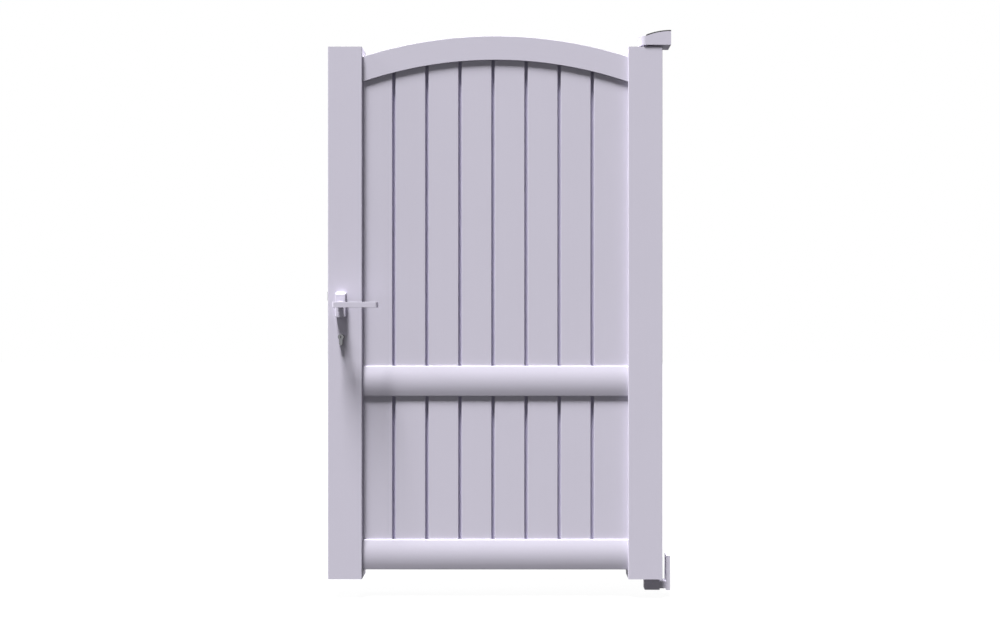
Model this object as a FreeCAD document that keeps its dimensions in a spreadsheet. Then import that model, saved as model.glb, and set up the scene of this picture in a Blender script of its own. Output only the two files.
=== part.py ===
"""Arched aluminium garden gate: a boarded leaf between two uprights, hung on two wall brackets.

All lengths are millimetres. The wall face is the plane x = 0 and the leaf reaches towards -X. Y runs
through the leaf, from the street side at -Y to the garden side at +Y, with the middle of the leaf at
y = 0. The lower ends of the uprights are at z = 0.
"""
import FreeCAD
import Part
import math
import os
import Sketcher
from types import SimpleNamespace

Vector = FreeCAD.Vector

DRIVING_SIZES = {
    # Leaf outline
    "wall_gap": 25,
    "leaf_width": 985,
    "leaf_height": 1568,
    # Uprights and their end caps
    "upright_width": 100,
    "upright_depth": 60,
    "upright_wall": 2,
    "upright_edge": 1.5,
    "cap_plate": 3,
    "cap_skirt": 18,
    "cap_fit": 0.2,
    "plug_depth": 35,
    # Straight rails
    "rail_height": 89,
    "rail_depth": 36.5,
    "rail_crown": 3,
    "rail_wall": 2,
    "rail_edge": 2,
    "middle_rail_lift": 538,
    "bottom_rail_lift": 25,
    "channel_depth": 15,
    "channel_play": 0.5,
    "port_boss": 10,
    "port_inset": 3,
    # Arched rail
    "arch_rise": 35,
    "arch_shoulder": 26,
    "arch_band": 70,
    "arch_bevel": 0.5,
    "cleat_length": 32,
    "cleat_fit": 0.2,
    "arch_screw_spacing": 20,
    # Boards
    "board_thickness": 28,
    "board_pitch": 98,
    "first_joint": 92,
    "joint_width": 9,
    "board_bevel": 1.5,
    "board_wall": 1.5,
    "board_end_play": 1,
    "tongue_thickness": 5,
    "tongue_length": 8,
    "tongue_play": 0.4,
    # Rail screws and the plugs over their access holes
    "screw_diameter": 6,
    "screw_length": 28,
    "screw_head_diameter": 11,
    "screw_head_height": 4,
    "screw_play": 0.2,
    "access_hole": 14,
    "access_flange": 17,
    "access_flange_height": 1.2,
    "access_stem": 4,
    # Lock
    "backset": 40,
    "lever_rise": 180.5,
    "cylinder_drop": 94,
    "case_thickness": 16,
    "case_wall": 1.5,
    "case_back": 24,
    "case_above": 60,
    "case_below": 150,
    "case_play": 0.5,
    "faceplate_width": 22,
    "faceplate_thickness": 3,
    "faceplate_overlap": 20,
    "small_screw": 5,
    "small_head": 9,
    "small_head_height": 2.7,
    "faceplate_screw_length": 14,
    "bolt_thickness": 12,
    "bolt_play": 0.3,
    "latch_height": 26,
    "latch_throw": 7,
    "latch_body": 35,
    "latch_lift": 14,
    "tail_thickness": 3,
    "tail_height": 10,
    "latch_tab": 5,
    "deadbolt_height": 28,
    "deadbolt_body": 28,
    "deadbolt_drop": 72,
    "deadbolt_tail": 18,
    "deadbolt_notch": 8,
    # Follower and spindle
    "follower_diameter": 24,
    "follower_journal": 16,
    "follower_lug": 20,
    "lug_width": 6,
    "lug_thickness": 5,
    "spindle_side": 8,
    "spindle_reach": 31,
    "running_play": 0.1,
    # Lock cylinder
    "cylinder_diameter": 17,
    "cylinder_stem": 10,
    "cylinder_height": 33,
    "cylinder_proud": 8,
    "plug_diameter": 13,
    "keyway_width": 2.2,
    "keyway_height": 8,
    "keyway_depth": 20,
    "cam_width": 9.6,
    "cam_ring": 16,
    "cam_reach": 15,
    "cam_nose": 7,
    "cam_play": 0.4,
    # Rosettes and levers
    "rosette_width": 30,
    "rosette_height": 75,
    "rosette_thickness": 14,
    "rosette_corner": 6,
    "rosette_edge": 2.5,
    "rosette_brow": 8,
    "rosette_head_drop": 0.8,
    "rosette_bolt_spacing": 56,
    "rosette_thread": 11,
    "rosette_bolt_spare": 2,
    "rosette_hole": 20,
    "lever_height_of_bar": 16,
    "lever_depth_of_bar": 12,
    "lever_reach": 56,
    "lever_tail": 14,
    "lever_length": 116,
    "lever_return": 20,
    "lever_bend": 5,
    "lever_edge": 0.4,
    "neck_diameter": 16,
    "neck_tip_gap": 1,
    "grub_offset": 19,
    "grub_length": 3.9,
    # Pivots
    "pivot_inset": 31,
    "pin_diameter": 16,
    "pin_engagement": 30,
    "pin_chamfer": 2,
    "bush_diameter": 24,
    "washer_diameter": 30,
    "washer_thickness": 4,
    # Top wall bracket
    "top_gap": 5,
    "housing_length": 93,
    "housing_height": 40,
    "housing_front": 32,
    "housing_back": 15,
    "housing_wall": 4,
    "housing_floor": 8,
    "housing_corner": 19,
    "wall_flange": 12,
    "anchor_hole": 13,
    "lid_length": 73,
    "lid_radius": 200,
    "lid_thickness": 3.5,
    "lid_rib": 3,
    "lid_fit": 0.3,
    "slide_width": 21,
    "slide_thickness": 6,
    "slide_tail": 12,
    "slide_travel": 8,
    "clamp_offset": 27,
    "clamp_diameter": 8,
    "clamp_head": 13,
    "clamp_head_height": 8,
    # Bottom wall bracket
    "plate_thickness": 11,
    "plate_depth": 30,
    "plate_above": 66,
    "plate_below": 36.5,
    "arm_height": 21.5,
    "arm_depth": 24,
    "arm_rise": 4,
    "block_length": 44,
    "block_nose": 18.5,
    "block_depth": 26,
    "block_edge": 1,
    "bracket_hole": 9,
    "bracket_hole_spacing": 40,
    "bracket_hole_middle": 30,
    "counterbore_diameter": 18,
    "counterbore_depth": 6,
}

doc = FreeCAD.newDocument("ArchedGate")
sheet = doc.addObject("Spreadsheet::Sheet", "Sizes")
for row, (alias, number) in enumerate(DRIVING_SIZES.items(), start=1):
    sheet.set(f"A{row}", alias)
    sheet.set(f"B{row}", str(number))
    sheet.setAlias(f"B{row}", alias)
doc.recompute()


class Size:
    """A length with its value now and its formula over the sheet."""

    def __init__(self, value, formula):
        self.value = value
        self.formula = formula

    def __neg__(self):
        return Size(-self.value, f"-({self.formula})")

    def __add__(self, other):
        other = sized(other)
        return Size(self.value + other.value, f"({self.formula} + {other.formula})")

    def __sub__(self, other):
        other = sized(other)
        return Size(self.value - other.value, f"({self.formula} - {other.formula})")

    def __rsub__(self, other):
        return sized(other) - self

    def __mul__(self, other):
        other = sized(other)
        return Size(self.value * other.value, f"({self.formula} * {other.formula})")

    def __truediv__(self, other):
        other = sized(other)
        return Size(self.value / other.value, f"({self.formula} / {other.formula})")

    def root(self):
        return Size(math.sqrt(self.value), f"sqrt({self.formula})")

    __radd__ = __add__
    __rmul__ = __mul__


def sized(thing):
    return thing if isinstance(thing, Size) else Size(thing, f"{thing:.10g}")


dim = SimpleNamespace(**{
    alias: Size(float(sheet.get(alias)), f"Sizes.{alias}") for alias in DRIVING_SIZES
})


def bind(target, setting, size):
    """Tie one setting of a feature to its formula."""
    target.setExpression(setting, sized(size).formula)


def place(target, x, y, z, along="Z"):
    """Put an object's own origin at a point, with its own Z axis along X, Y or Z or against one of them."""
    sign = -1 if along.startswith("-") else 1
    direction = {"X": Vector(sign, 0, 0), "Y": Vector(0, sign, 0), "Z": Vector(0, 0, sign)}[along[-1]]
    target.Placement = FreeCAD.Placement(Vector(), FreeCAD.Rotation(Vector(0, 0, 1), direction))
    for axis, size in zip("xyz", (x, y, z)):
        bind(target, f"Placement.Base.{axis}", size)


def new_body(label, x=0, y=0, z=0, along="Z"):
    body = doc.addObject("PartDesign::Body", label)
    body.Label = label
    place(body, x, y, z, along)
    return body


def origin_feature(body, role):
    return next(item for item in body.Origin.OriginFeatures if item.Role == role)


# Outlines. A corner is (x, y) where a straight side arrives, or (x, y, centre x, centre y, turn) where
# an arc arrives, with turn 1 for anticlockwise travel and -1 for clockwise.

def rectangle(left, low, right, high):
    return [(left, low), (right, low), (right, high), (left, high)]


def rounded_rectangle(left, low, right, high, radius):
    return [
        (left + radius, low, left + radius, low + radius, 1),
        (right - radius, low),
        (right, low + radius, right - radius, low + radius, 1),
        (right, high - radius),
        (right - radius, high, right - radius, high - radius, 1),
        (left + radius, high),
        (left, high - radius, left + radius, high - radius, 1),
        (left, low + radius),
    ]


def slot(left, right, middle, width):
    """A straight slot with round ends, given by the middles of its two ends."""
    half = width / 2
    return [
        (left, middle - half, left, middle, 1),
        (right, middle - half),
        (right, middle + half, right, middle, 1),
        (left, middle + half),
    ]


def circle(x, y, diameter):
    return SimpleNamespace(x=sized(x), y=sized(y), diameter=sized(diameter))


def draw_circle(sketch, ring):
    radius = ring.diameter.value / 2
    number = sketch.addGeometry(Part.Circle(Vector(ring.x.value, ring.y.value, 0), Vector(0, 0, 1), radius))
    for kind, size in (("DistanceX", ring.x), ("DistanceY", ring.y)):
        constraint = sketch.addConstraint(Sketcher.Constraint(kind, number, 3, size.value))
        bind(sketch, f"Constraints[{constraint}]", size)
    constraint = sketch.addConstraint(Sketcher.Constraint("Diameter", number, ring.diameter.value))
    bind(sketch, f"Constraints[{constraint}]", ring.diameter)


def draw_outline(sketch, corners):
    """Draw a closed outline and tie each corner, and each arc's centre, to its formula."""
    corners = [[sized(item) for item in corner] for corner in corners]
    sides = []
    dimensions = []
    for here, there in zip(corners, corners[1:] + corners[:1]):
        start = Vector(here[0].value, here[1].value, 0)
        end = Vector(there[0].value, there[1].value, 0)
        if len(there) == 2:
            number = sketch.addGeometry(Part.LineSegment(start, end))
            first, last = 1, 2
        else:
            centre = Vector(there[2].value, there[3].value, 0)
            travel = [math.atan2(point.y - centre.y, point.x - centre.x) for point in (start, end)]
            clockwise = there[4].value < 0
            if clockwise:
                travel.reverse()
            if travel[1] <= travel[0]:
                travel[1] += 2 * math.pi
            ring = Part.Circle(centre, Vector(0, 0, 1), (start - centre).Length)
            number = sketch.addGeometry(Part.ArcOfCircle(ring, *travel))
            first, last = (2, 1) if clockwise else (1, 2)
            level = abs(end.x - start.x) > abs(end.y - start.y)
            kind, size = ("DistanceY", there[3]) if level else ("DistanceX", there[2])
            dimensions.append((kind, number, 3, size))
        dimensions.append(("DistanceX", number, first, here[0]))
        dimensions.append(("DistanceY", number, first, here[1]))
        sides.append((number, first, last))
    for (number, _, last), (following, first, _) in zip(sides, sides[1:] + sides[:1]):
        sketch.addConstraint(Sketcher.Constraint("Coincident", number, last, following, first))
    for kind, number, point, size in dimensions:
        constraint = sketch.addConstraint(Sketcher.Constraint(kind, number, point, size.value))
        bind(sketch, f"Constraints[{constraint}]", size)


def sketch_on(body, plane, shapes, at=0):
    """A sketch on one of the body's own planes, moved to a place along that plane's axis."""
    sketch = body.newObject("Sketcher::SketchObject", f"{body.Name}_sketch")
    sketch.AttachmentSupport = (origin_feature(body, f"{plane}_Plane"), [""])
    sketch.MapMode = "FlatFace"
    bind(sketch, "AttachmentOffset.Base.z", -sized(at) if plane == "XZ" else at)
    for shape in shapes:
        if isinstance(shape, list):
            draw_outline(sketch, shape)
        else:
            draw_circle(sketch, shape)
    return sketch


def extrude(kind, body, plane, shapes, length, way, at):
    """Pad or pocket shapes along their plane's axis: way 1 or -1 for one side, 0 for both sides alike."""
    before = body.Tip.Shape.Volume if body.Tip else 0
    sketch = sketch_on(body, plane, shapes, at)
    feature = body.newObject(f"PartDesign::{kind}", f"{body.Name}_{kind.lower()}")
    feature.Profile = sketch
    if length is None:
        feature.Type = "ThroughAll"
    else:
        bind(feature, "Length", length)
    feature.SideType = "One side" if way else "Symmetric"
    forward = -1 if plane == "XZ" else 1
    if kind == "Pocket":
        forward = -forward
    feature.Reversed = way == -forward
    doc.recompute()
    gained = feature.Shape.Volume - before
    if (gained > 0) != (kind == "Pad") or abs(gained) < 1e-6:
        raise RuntimeError(f"{feature.Label} leaves its piece as it was")
    return feature


def pad(body, plane, shapes, length, way=1, at=0):
    return extrude("Pad", body, plane, shapes, length, way, at)


def pocket(body, plane, shapes, length=None, way=0, at=0):
    return extrude("Pocket", body, plane, shapes, length, way, at)


def revolve(body, plane, shapes, axis):
    """Turn shapes on one of the body's own planes once round one of its axes."""
    feature = body.newObject("PartDesign::Revolution", f"{body.Name}_turn")
    feature.Profile = sketch_on(body, plane, shapes)
    feature.ReferenceAxis = (origin_feature(body, f"{axis}_Axis"), [""])
    feature.Angle = 360
    return feature


def turned(label, profile, x, y, z, along="Z"):
    """A turned piece: a profile of (radius, distance along the axis) corners, spun round its axis."""
    body = new_body(label, x, y, z, along)
    revolve(body, "XZ", [profile], "Z")
    return body


def ring_profile(inner, outer, length):
    return rectangle(inner / 2, 0, outer / 2, length)


def dress_edges(kind, setting, body, size, wanted):
    base = body.Tip
    names = [f"Edge{number}" for number, edge in enumerate(base.Shape.Edges, start=1) if wanted(edge)]
    feature = body.newObject(f"PartDesign::{kind}", f"{body.Name}_{kind.lower()}")
    feature.Base = (base, names)
    bind(feature, setting, size)
    doc.recompute()
    return feature


def round_edges(body, radius, wanted):
    """Round the edges of a body that the test picks out."""
    return dress_edges("Fillet", "Radius", body, radius, wanted)


def bevel_edges(body, width, wanted):
    """Bevel the edges of a body that the test picks out."""
    return dress_edges("Chamfer", "Size", body, width, wanted)


def runs_along(edge, axis):
    return edge.Curve.TypeId == "Part::GeomLine" and abs(abs(edge.Curve.Direction.dot(axis)) - 1) < 1e-6


pieces = []


def keep(piece, label=None):
    """Count an object as a finished piece of the gate."""
    if label:
        piece.Label = label
    pieces.append(piece)
    return piece


def keep_group(label, members):
    group = doc.addObject("Part::Compound", label)
    group.Links = members
    return keep(group, label)


# Places that several pieces share
hinge_face = -dim.wall_gap
latch_face = hinge_face - dim.leaf_width
hinge_inner = hinge_face - dim.upright_width
latch_inner = latch_face + dim.upright_width
clear_width = dim.leaf_width - 2 * dim.upright_width
leaf_middle = hinge_face - dim.leaf_width / 2
leaf_front = -dim.upright_depth / 2
pivot_x = hinge_face - dim.pivot_inset
lever_height = dim.middle_rail_lift + dim.rail_height + dim.lever_rise
spindle_x = latch_face + dim.backset
cylinder_z = lever_height - dim.cylinder_drop

# The arch: its top stands above the uprights, and its ends meet them a little below their tops
arch_apex = dim.leaf_height + dim.arch_rise
sagitta = dim.arch_rise + dim.arch_shoulder
arch_radius = (clear_width * clear_width / 4 + sagitta * sagitta) / (2 * sagitta)
arch_centre = arch_apex - arch_radius

# The arched rail's hollow, between the floor of its board channel and its outer wall
arch_inner_radius = arch_radius - dim.arch_band
arch_channel_radius = arch_inner_radius + dim.channel_depth
hollow_low = arch_channel_radius + dim.rail_wall
hollow_high = arch_radius - dim.rail_wall


def arch_height(radius, x):
    """Height of an arc about the arch's centre, at a place across the leaf."""
    across = x - leaf_middle
    return arch_centre + (radius * radius - across * across).root()


# Screw levels at each end of the rails: two in each straight rail, two in the arch's end cleat
port_low = dim.channel_depth + dim.rail_wall + dim.port_inset
port_high = dim.rail_height - port_low
arch_screw_middle = (arch_height(hollow_low, latch_inner) + arch_height(hollow_high, latch_inner)) / 2
screw_levels = [
    dim.bottom_rail_lift + port_low,
    dim.bottom_rail_lift + port_high,
    dim.middle_rail_lift + port_low,
    dim.middle_rail_lift + port_high,
    arch_screw_middle - dim.arch_screw_spacing / 2,
    arch_screw_middle + dim.arch_screw_spacing / 2,
]
screw_hole = dim.screw_diameter + dim.screw_play
small_hole = dim.small_screw + dim.screw_play

# The lock's heights, measured from the lever's axis
case_mouth = -dim.backset
faceplate_top = dim.case_above + dim.faceplate_overlap
faceplate_bottom = -dim.case_below - dim.faceplate_overlap
faceplate_screws = [faceplate_top - dim.faceplate_overlap / 2, faceplate_bottom + dim.faceplate_overlap / 2]
rosette_bolts = [dim.rosette_bolt_spacing / 2, -dim.rosette_bolt_spacing / 2]
cylinder_radius = dim.cylinder_diameter / 2
cam_gap_low = -dim.cam_reach - dim.cam_play
stem_low = cylinder_radius - dim.cylinder_height
cylinder_screw_level = (cam_gap_low + stem_low) / 2


def cylinder_outline(x, z, play):
    """The keyhole-shaped section of a profile cylinder: a round head on a narrower stem with a round foot."""
    head = cylinder_radius + play
    half = dim.cylinder_stem / 2 + play
    joint = z - (head * head - half * half).root()
    foot = z + stem_low + dim.cylinder_stem / 2
    return [
        (x - half, joint),
        (x + half, joint, x, z, -1),
        (x + half, foot),
        (x - half, foot, x, foot, -1),
    ]


# Uprights: rectangular aluminium tubes, drilled for the rail screws and, on the latch side, cut for the lock
def upright(label, outer_face, toward_leaf):
    half_width = dim.upright_width / 2
    half_depth = dim.upright_depth / 2
    body = new_body(label, outer_face + toward_leaf * half_width, 0, dim.cap_plate)
    outside = rounded_rectangle(-half_width, -half_depth, half_width, half_depth, dim.upright_edge)
    inner_width = half_width - dim.upright_wall
    inner_depth = half_depth - dim.upright_wall
    inside = rectangle(-inner_width, -inner_depth, inner_width, inner_depth)
    pad(body, "XY", [outside, inside], dim.leaf_height - 2 * dim.cap_plate)
    levels = [level - dim.cap_plate for level in screw_levels]
    pocket(body, "YZ", [circle(0, level, screw_hole) for level in levels], way=toward_leaf)
    pocket(body, "YZ", [circle(0, level, dim.access_hole) for level in levels], way=-toward_leaf)
    return body


latch_upright = upright("latch_upright", latch_face, 1)
lock_x = dim.backset - dim.upright_width / 2
lock_z = lever_height - dim.cap_plate
case_half = dim.case_thickness / 2 + dim.case_play
case_slot = rectangle(
    -case_half, lock_z - dim.case_below - dim.case_play, case_half, lock_z + dim.case_above + dim.case_play)
pocket(latch_upright, "YZ", [case_slot], way=-1)
pocket(latch_upright, "YZ", [circle(0, lock_z + level, small_hole) for level in faceplate_screws], way=-1)
handle_cuts = [circle(lock_x, lock_z, dim.rosette_hole)]
handle_cuts += [circle(lock_x, lock_z + level, small_hole) for level in rosette_bolts]
handle_cuts.append(cylinder_outline(lock_x, lock_z - dim.cylinder_drop, dim.case_play))
pocket(latch_upright, "XZ", handle_cuts)
keep(latch_upright)
keep(upright("hinge_upright", hinge_face, -1))


# End caps of the latch upright: a plate as wide as the tube, with a thin skirt inside it
def cap_plate_outline():
    half_width = dim.upright_width / 2
    half_depth = dim.upright_depth / 2
    return rounded_rectangle(-half_width, -half_depth, half_width, half_depth, dim.upright_edge)


def end_cap(label, tube_end, outward):
    body = new_body(label, latch_face + dim.upright_width / 2, 0, tube_end)
    pad(body, "XY", [cap_plate_outline()], dim.cap_plate, outward)
    half_width = dim.upright_width / 2 - dim.upright_wall - dim.cap_fit
    half_depth = dim.upright_depth / 2 - dim.upright_wall - dim.cap_fit
    skirt = [
        rectangle(-half_width, -half_depth, half_width, half_depth),
        rectangle(dim.cap_plate - half_width, dim.cap_plate - half_depth,
                  half_width - dim.cap_plate, half_depth - dim.cap_plate),
    ]
    pad(body, "XY", skirt, dim.cap_skirt, -outward)
    keep(body)


tube_top = dim.leaf_height - dim.cap_plate
end_cap("latch_top_cap", tube_top, 1)
end_cap("latch_bottom_cap", dim.cap_plate, -1)


# Pivot plugs of the hinge upright: an end plate with a block that carries the bush
def pivot_plug(label, tube_end, outward):
    body = new_body(label, hinge_face - dim.upright_width / 2, 0, tube_end)
    pad(body, "XY", [cap_plate_outline()], dim.cap_plate, outward)
    pivot_offset = dim.upright_width / 2 - dim.pivot_inset
    half_length = dim.pivot_inset - dim.upright_wall - dim.cap_fit
    half_depth = dim.upright_depth / 2 - dim.upright_wall - dim.cap_fit
    block = rectangle(pivot_offset - half_length, -half_depth, pivot_offset + half_length, half_depth)
    pad(body, "XY", [block], dim.plug_depth, -outward)
    pocket(body, "XY", [circle(pivot_offset, 0, dim.bush_diameter + dim.running_play)])
    keep(body)


pivot_plug("hinge_top_plug", tube_top, 1)
pivot_plug("hinge_bottom_plug", dim.cap_plate, -1)
bush_profile = ring_profile(dim.pin_diameter + dim.running_play, dim.bush_diameter, dim.plug_depth + dim.cap_plate)
keep(turned("top_pivot_bush", bush_profile, pivot_x, 0, dim.leaf_height, "-Z"))
keep(turned("bottom_pivot_bush", bush_profile, pivot_x, 0, 0))


# Straight rails: one extrusion for both, with crowned faces, a board channel above and below, and two
# screw ports in its hollow
def straight_rail(label, lift):
    height = dim.rail_height
    half = dim.rail_depth / 2
    edge = dim.rail_edge
    channel = dim.board_thickness / 2 + dim.channel_play
    floor_low = dim.channel_depth
    floor_high = height - floor_low
    crown_half = height / 2 - edge
    crown_radius = (crown_half * crown_half + dim.rail_crown * dim.rail_crown) / (2 * dim.rail_crown)
    crown_centre = crown_radius - half - dim.rail_crown
    outside = [
        (-half, edge, edge - half, edge, -1),
        (-half, height - edge, crown_centre, height / 2, -1),
        (edge - half, height, edge - half, height - edge, -1),
        (-channel, height),
        (-channel, floor_high),
        (channel, floor_high),
        (channel, height),
        (half - edge, height),
        (half, height - edge, half - edge, height - edge, -1),
        (half, edge, -crown_centre, height / 2, -1),
        (half - edge, 0, half - edge, edge, -1),
        (channel, 0),
        (channel, floor_low),
        (-channel, floor_low),
        (-channel, 0),
        (edge - half, 0),
    ]
    low = floor_low + dim.rail_wall
    high = height - low
    inner_radius = crown_radius - dim.rail_wall
    reach = height / 2 - low
    side = crown_centre - (inner_radius * inner_radius - reach * reach).root()
    boss = dim.port_boss / 2
    hollow = [
        (side, low),
        (side, high, crown_centre, height / 2, -1),
        (-boss, high),
        (-boss, port_high),
        (boss, port_high, 0, port_high, 1),
        (boss, high),
        (-side, high),
        (-side, low, -crown_centre, height / 2, -1),
        (boss, low),
        (boss, port_low),
        (-boss, port_low, 0, port_low, 1),
        (-boss, low),
    ]
    ports = [circle(0, level, screw_hole) for level in (port_low, port_high)]
    body = new_body(label, latch_inner, 0, lift)
    pad(body, "YZ", [outside, hollow] + ports, clear_width)
    keep(body)


straight_rail("middle_rail", dim.middle_rail_lift)
straight_rail("bottom_rail", dim.bottom_rail_lift)

# Arched rail: a hollow flat-faced band, rolled to a circle and cut upright at both ends, with a channel for
# the boards in its inner side
def arch_strip(low, high, left, right):
    """The part of a flat ring about the arch's centre that lies between two upright lines."""
    return [
        (left, arch_height(low, left)),
        (right, arch_height(low, right), leaf_middle, arch_centre, -1),
        (right, arch_height(high, right)),
        (left, arch_height(high, left), leaf_middle, arch_centre, 1),
    ]


def is_arc(edge):
    return edge.Curve.TypeId == "Part::GeomCircle"


hollow_half = dim.rail_depth / 2 - dim.rail_wall
past_latch = latch_inner - dim.rail_wall
past_hinge = hinge_inner + dim.rail_wall
arch_rail = new_body("arch_rail")
pad(arch_rail, "XZ", [arch_strip(arch_inner_radius, arch_radius, latch_inner, hinge_inner)], dim.rail_depth, 0)
bevel_edges(arch_rail, dim.arch_bevel, is_arc)
channel_strip = arch_strip(arch_inner_radius - dim.channel_depth, arch_channel_radius, past_latch, past_hinge)
pocket(arch_rail, "XZ", [channel_strip], dim.board_thickness + 2 * dim.channel_play, 0)
pocket(arch_rail, "XZ", [arch_strip(hollow_low, hollow_high, past_latch, past_hinge)], 2 * hollow_half, 0)
keep(arch_rail)


# Arch cleats: blocks in the ends of the arch's hollow, which the end screws pull against the uprights
def arch_cleat(label, end, into_leaf):
    low = hollow_low + dim.cleat_fit
    high = hollow_high - dim.cleat_fit
    far = end + into_leaf * dim.cleat_length
    left, right = (end, far) if into_leaf > 0 else (far, end)
    outline = arch_strip(low, high, left, right)
    body = new_body(label)
    pad(body, "XZ", [outline], 2 * (hollow_half - dim.cleat_fit), 0)
    pocket(body, "YZ", [circle(0, level, screw_hole) for level in screw_levels[-2:]], at=end)
    keep(body)


arch_cleat("latch_arch_cleat", latch_inner, 1)
arch_cleat("hinge_arch_cleat", hinge_inner, -1)


# Boards: hollow tongue-and-groove planks that stand in the rails' channels. The first and the last are
# trimmed square against the uprights.
joint_count = int((clear_width.value - dim.first_joint.value) / dim.board_pitch.value + 0.4)
joints = [latch_inner + dim.first_joint + number * dim.board_pitch for number in range(joint_count)]


def board_section(width, first, last):
    face = dim.board_thickness / 2
    bevel = dim.board_bevel
    tongue = dim.tongue_thickness / 2
    reach = width + dim.joint_width + dim.tongue_length
    groove = tongue + dim.tongue_play
    groove_depth = dim.tongue_length + dim.tongue_play
    wall = dim.board_wall
    if last:
        right = [(width, -face), (width, face)]
    else:
        right = [(width - bevel, -face), (width, bevel - face), (width, -tongue), (reach, -tongue),
                 (reach, tongue), (width, tongue), (width, face - bevel), (width - bevel, face)]
    if first:
        left = [(0, face), (0, -face)]
    else:
        left = [(bevel, face), (0, face - bevel), (0, groove), (groove_depth, groove),
                (groove_depth, -groove), (0, -groove), (0, bevel - face), (bevel, -face)]
    start = wall if first else groove_depth + wall
    middle = (start + width) / 2
    hollows = [
        rectangle(start, wall - face, middle - wall, face - wall),
        rectangle(middle, wall - face, width - wall, face - wall),
    ]
    if not last:
        hollows.append(rectangle(width, wall - tongue, reach - wall, tongue - wall))
    return [right + left] + hollows


def board(label, number, bottom, height):
    first = number == 0
    last = number == joint_count
    left = latch_inner if first else joints[number - 1] + dim.joint_width / 2
    right = hinge_inner if last else joints[number] - dim.joint_width / 2
    body = new_body(label, left, 0, bottom)
    pad(body, "XY", board_section(right - left, first, last), height)
    return body


lower_bottom = dim.bottom_rail_lift + dim.rail_height - dim.channel_depth
lower_height = dim.middle_rail_lift + dim.channel_depth - dim.board_end_play - lower_bottom
upper_bottom = dim.middle_rail_lift + dim.rail_height - dim.channel_depth
board_arc = doc.addObject("Part::Cylinder", "board_arc")
bind(board_arc, "Radius", arch_channel_radius - dim.board_end_play)
bind(board_arc, "Height", dim.upright_depth)
place(board_arc, leaf_middle, leaf_front, arch_centre, "Y")
for number in range(joint_count + 1):
    plank = board(f"upper_plank_{number + 1}", number, upper_bottom, arch_apex - upper_bottom)
    arched = doc.addObject("Part::Common", f"upper_board_{number + 1}")
    arched.Base = plank
    arched.Tool = board_arc
    keep(arched, f"upper_board_{number + 1}")
for number in range(joint_count + 1):
    keep(board(f"lower_board_{number + 1}", number, lower_bottom, lower_height))


# Rail screws, with their heads inside the uprights, and the plastic plugs over their access holes
def headed_profile(shank, length, head, head_height):
    """Half section of a screw: the head's seat is at 0, the shank goes up and the head goes down."""
    return [
        (0, -head_height),
        (head / 2, -head_height),
        (head / 2, 0),
        (shank / 2, 0),
        (shank / 2, length),
        (0, length),
    ]


rail_screw = headed_profile(dim.screw_diameter, dim.screw_length, dim.screw_head_diameter, dim.screw_head_height)
access_plug = headed_profile(
    dim.access_hole - dim.screw_play, dim.access_stem, dim.access_flange, dim.access_flange_height)
rail_screws = []
access_plugs = []
for side, inner, outer, along in (
    ("latch", latch_inner - dim.upright_wall, latch_face, "X"),
    ("hinge", hinge_inner + dim.upright_wall, hinge_face, "-X"),
):
    for number, level in enumerate(screw_levels, start=1):
        rail_screws.append(turned(f"{side}_rail_screw_{number}", rail_screw, inner, 0, level, along))
        access_plugs.append(turned(f"{side}_access_plug_{number}", access_plug, outer, 0, level, along))
keep_group("rail_screws", rail_screws)
keep_group("access_plugs", access_plugs)

# Lock case: a flat steel box in the latch upright, open towards the faceplate
lock_case = new_body("lock_case", spindle_x, 0, lever_height)
pad(lock_case, "XZ", [rectangle(case_mouth, -dim.case_below, dim.case_back, dim.case_above)], dim.case_thickness, 0)
cavity = rectangle(case_mouth - dim.case_wall, dim.case_wall - dim.case_below,
                   dim.case_back - dim.case_wall, dim.case_above - dim.case_wall)
pocket(lock_case, "XZ", [cavity], dim.case_thickness - 2 * dim.case_wall, 0)
case_cuts = [circle(0, 0, dim.follower_journal + dim.running_play)]
case_cuts += [circle(0, level, small_hole) for level in rosette_bolts]
case_cuts.append(cylinder_outline(0, -dim.cylinder_drop, dim.screw_play))
pocket(lock_case, "XZ", case_cuts)
keep(lock_case)

# Faceplate: a steel strip with round ends, screwed on the edge of the upright over the lock
latch_low = dim.latch_lift
latch_high = dim.latch_lift + dim.latch_height
deadbolt_low = -dim.deadbolt_drop
deadbolt_high = dim.deadbolt_height - dim.deadbolt_drop
bolt_half = dim.bolt_thickness / 2
faceplate = new_body("lock_faceplate", latch_face, 0, lever_height)
plate_half = dim.faceplate_width / 2
strip = [
    (-plate_half, faceplate_bottom + plate_half),
    (plate_half, faceplate_bottom + plate_half, 0, faceplate_bottom + plate_half, 1),
    (plate_half, faceplate_top - plate_half),
    (-plate_half, faceplate_top - plate_half, 0, faceplate_top - plate_half, 1),
]
pad(faceplate, "YZ", [strip], dim.faceplate_thickness, -1)
mouth_half = bolt_half + dim.bolt_play
mouths = [
    rectangle(-mouth_half, latch_low - dim.bolt_play, mouth_half, latch_high + dim.bolt_play),
    rectangle(-mouth_half, deadbolt_low - dim.bolt_play, mouth_half, deadbolt_high + dim.bolt_play),
]
fixing_levels = faceplate_screws + [cylinder_screw_level - dim.cylinder_drop]
pocket(faceplate, "YZ", mouths + [circle(0, level, small_hole) for level in fixing_levels], way=-1)
keep(faceplate)


def countersunk_profile(length):
    """Half section of a countersunk screw, from the flat of its head along its shank."""
    shank = dim.small_screw / 2
    return [
        (0, -dim.small_head_height),
        (dim.small_head / 2, -dim.small_head_height),
        (shank, 0),
        (shank, length),
        (0, length),
    ]


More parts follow.
